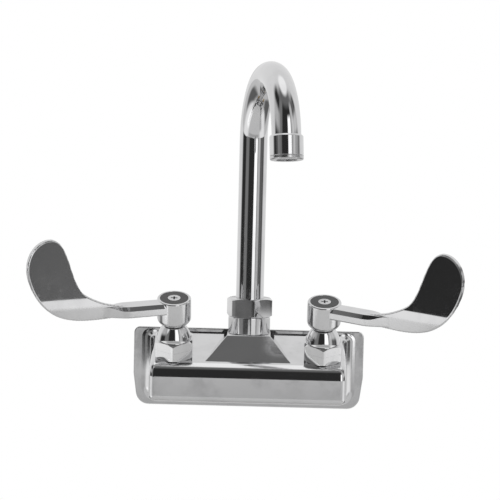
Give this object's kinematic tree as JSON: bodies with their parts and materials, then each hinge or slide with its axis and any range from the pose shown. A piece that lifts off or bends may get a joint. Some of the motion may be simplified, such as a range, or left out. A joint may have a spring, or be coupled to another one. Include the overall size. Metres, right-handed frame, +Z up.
{
  "type": "wall-mounted faucet",
  "caption": "Wall-mounted faucet with a swivelling gooseneck spout, wrist-blade handles and quarter-turn ceramic valves.",
  "frame": {"origin": "on the wall face, midway between the two inlets and level with them", "axes": "+X to the viewer's right, -Y out of the wall towards the viewer, +Z up"},
  "size_m": [0.279, 0.176, 0.2413],
  "materials": {
    "cast_chrome": "polished chrome plate over a brass casting",
    "turned_chrome": "polished chrome plate over turned brass",
    "tube_chrome": "polished chrome plate over drawn brass tube",
    "handle_chrome": "polished chrome plate over cast metal",
    "satin_chrome": "chrome with a fine satin on the foot",
    "screw_chrome": "plated screw",
    "plain_brass": "machined brass, unplated",
    "screen_steel": "stainless spring and screen",
    "black_rubber": "matt black rubber",
    "white_plastic": "white acetal",
    "ceramic": null,
    "hot_index": "dark index disc, plain",
    "cold_index": "dark index disc, plain"
  },
  "bodies": {
    "body": {"valve_body": "cast_chrome", "wall_gasket": "black_rubber", "spout_collar": "turned_chrome", "spout_nut": "turned_chrome", "slip_washer": "white_plastic", "hot_inlet_shank": "plain_brass", "hot_wall_washer": "black_rubber", "hot_locknut": "plain_brass", "hot_cartridge": "turned_chrome", "hot_fixed_disc": "ceramic", "hot_seat_seal": "black_rubber", "hot_bonnet": "turned_chrome", "hot_neck_ring": "black_rubber", "cold_inlet_shank": "plain_brass", "cold_wall_washer": "black_rubber", "cold_locknut": "plain_brass", "cold_cartridge": "turned_chrome", "cold_fixed_disc": "ceramic", "cold_seat_seal": "black_rubber", "cold_bonnet": "turned_chrome", "cold_neck_ring": "black_rubber"},
    "spout": {"gooseneck_tube": "tube_chrome", "spout_bush": "plain_brass", "bush_seals": "black_rubber", "thrust_ring": "white_plastic", "spout_tip": "turned_chrome", "aerator_body": "satin_chrome", "aerator_gasket": "black_rubber", "aerator_screen": "screen_steel", "flow_straightener": "white_plastic"},
    "hot_control": {"hot_handle": "handle_chrome", "hot_index_disc": "hot_index", "hot_handle_screw": "screw_chrome", "hot_stem": "plain_brass", "hot_stem_seals": "black_rubber", "hot_stem_clip": "screen_steel", "hot_moving_disc": "ceramic"},
    "cold_control": {"cold_handle": "handle_chrome", "cold_index_disc": "cold_index", "cold_handle_screw": "screw_chrome", "cold_stem": "plain_brass", "cold_stem_seals": "black_rubber", "cold_stem_clip": "screen_steel", "cold_moving_disc": "ceramic"}
  },
  "joints": [
    {"name": "spout_swivel", "type": "hinge", "parent": "body", "child": "spout", "pos_m": [0, -0.02, 0.045], "axis": [0, 0, 1], "range_deg": [-104, 76]},
    {"name": "hot_handle_turn", "type": "hinge", "parent": "body", "child": "hot_control", "pos_m": [-0.0508, -0.0364, 0.01374], "axis": [0, -0.342, 0.9397], "range_deg": [-37, 53]},
    {"name": "cold_handle_turn", "type": "hinge", "parent": "body", "child": "cold_control", "pos_m": [0.0508, -0.0364, 0.01374], "axis": [0, -0.342, 0.9397], "range_deg": [-48, 42]}
  ]
}
